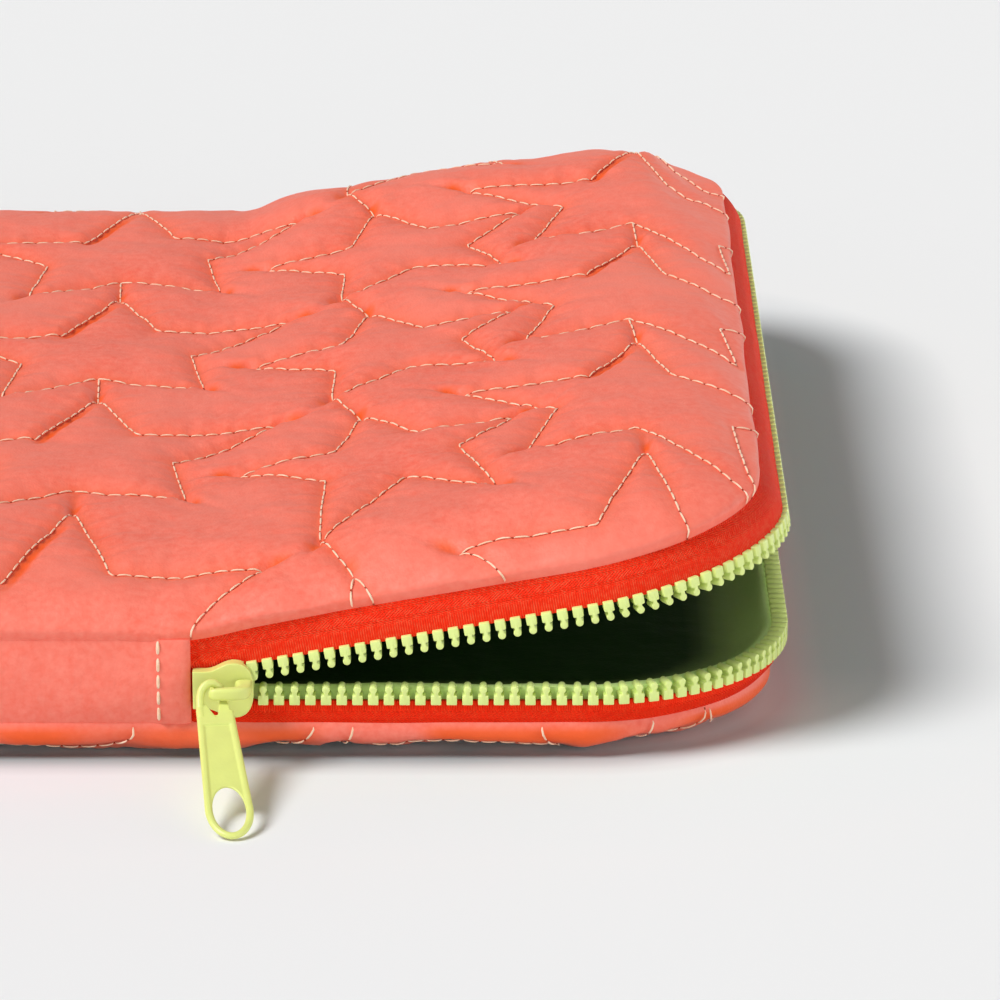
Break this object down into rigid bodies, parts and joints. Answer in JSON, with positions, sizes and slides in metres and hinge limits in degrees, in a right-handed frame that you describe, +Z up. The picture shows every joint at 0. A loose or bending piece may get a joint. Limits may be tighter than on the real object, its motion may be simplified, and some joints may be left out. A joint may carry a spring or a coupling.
{
  "type": "tablet sleeve",
  "caption": "Quilted padded tablet sleeve with a moulded-tooth zip round its mouth, flap lifted, slider and pull at the front.",
  "frame": {"origin": "middle of the flat base, on the surface that the sleeve lies on", "axes": "+X along the sleeve to its mouth, +Z up from the base, -Y the side where the slider waits"},
  "size_m": [0.29, 0.2573, 0.0377],
  "materials": {
    "coral_cloth": "matte",
    "zip_tape": "matte",
    "lime_plastic": "satin",
    "lining_cloth": "matte",
    "wadding": "matte"
  },
  "bodies": {
    "base": {"bottom_shell": "coral_cloth", "bottom_wadding": "wadding", "bottom_lining": "lining_cloth", "top_shell_closed": "coral_cloth", "top_wadding_closed": "wadding", "top_lining_closed": "lining_cloth", "side_band": "coral_cloth", "side_band_lining": "lining_cloth", "lower_tape": "zip_tape", "lower_front_teeth": "lime_plastic", "lower_end_teeth": "lime_plastic", "bottom_stop": "lime_plastic", "lower_top_stop": "lime_plastic"},
    "flap": {"top_shell_flap": "coral_cloth", "top_wadding_flap": "wadding", "top_lining_flap": "lining_cloth", "upper_tape": "zip_tape", "upper_front_teeth": "lime_plastic", "upper_end_teeth": "lime_plastic", "upper_top_stop": "lime_plastic"},
    "slider": {"slider_body": "lime_plastic", "slider_bridge": "lime_plastic"},
    "pull": {"pull_tab": "lime_plastic"}
  },
  "joints": [
    {"name": "flap_bend", "type": "hinge", "parent": "base", "child": "flap", "pos_m": [0.055, 0, 0.0113], "axis": [0, 1, 0], "range_deg": [0, 10]},
    {"name": "slider_travel", "type": "slide", "parent": "base", "child": "slider", "axis": [1, 0, 0], "range_m": [0, 0.045], "deforming": ["lower_front_teeth", "upper_front_teeth"]},
    {"name": "pull_swing", "type": "hinge", "parent": "slider", "child": "pull", "pos_m": [0.05825, -0.1165, 0.0113], "axis": [1, 0, 0], "range_deg": [-12, 70]}
  ],
  "couplings": [
    {"joint": "slider_travel", "follows": "flap_bend", "m_per_rad": 0.2578}
  ]
}
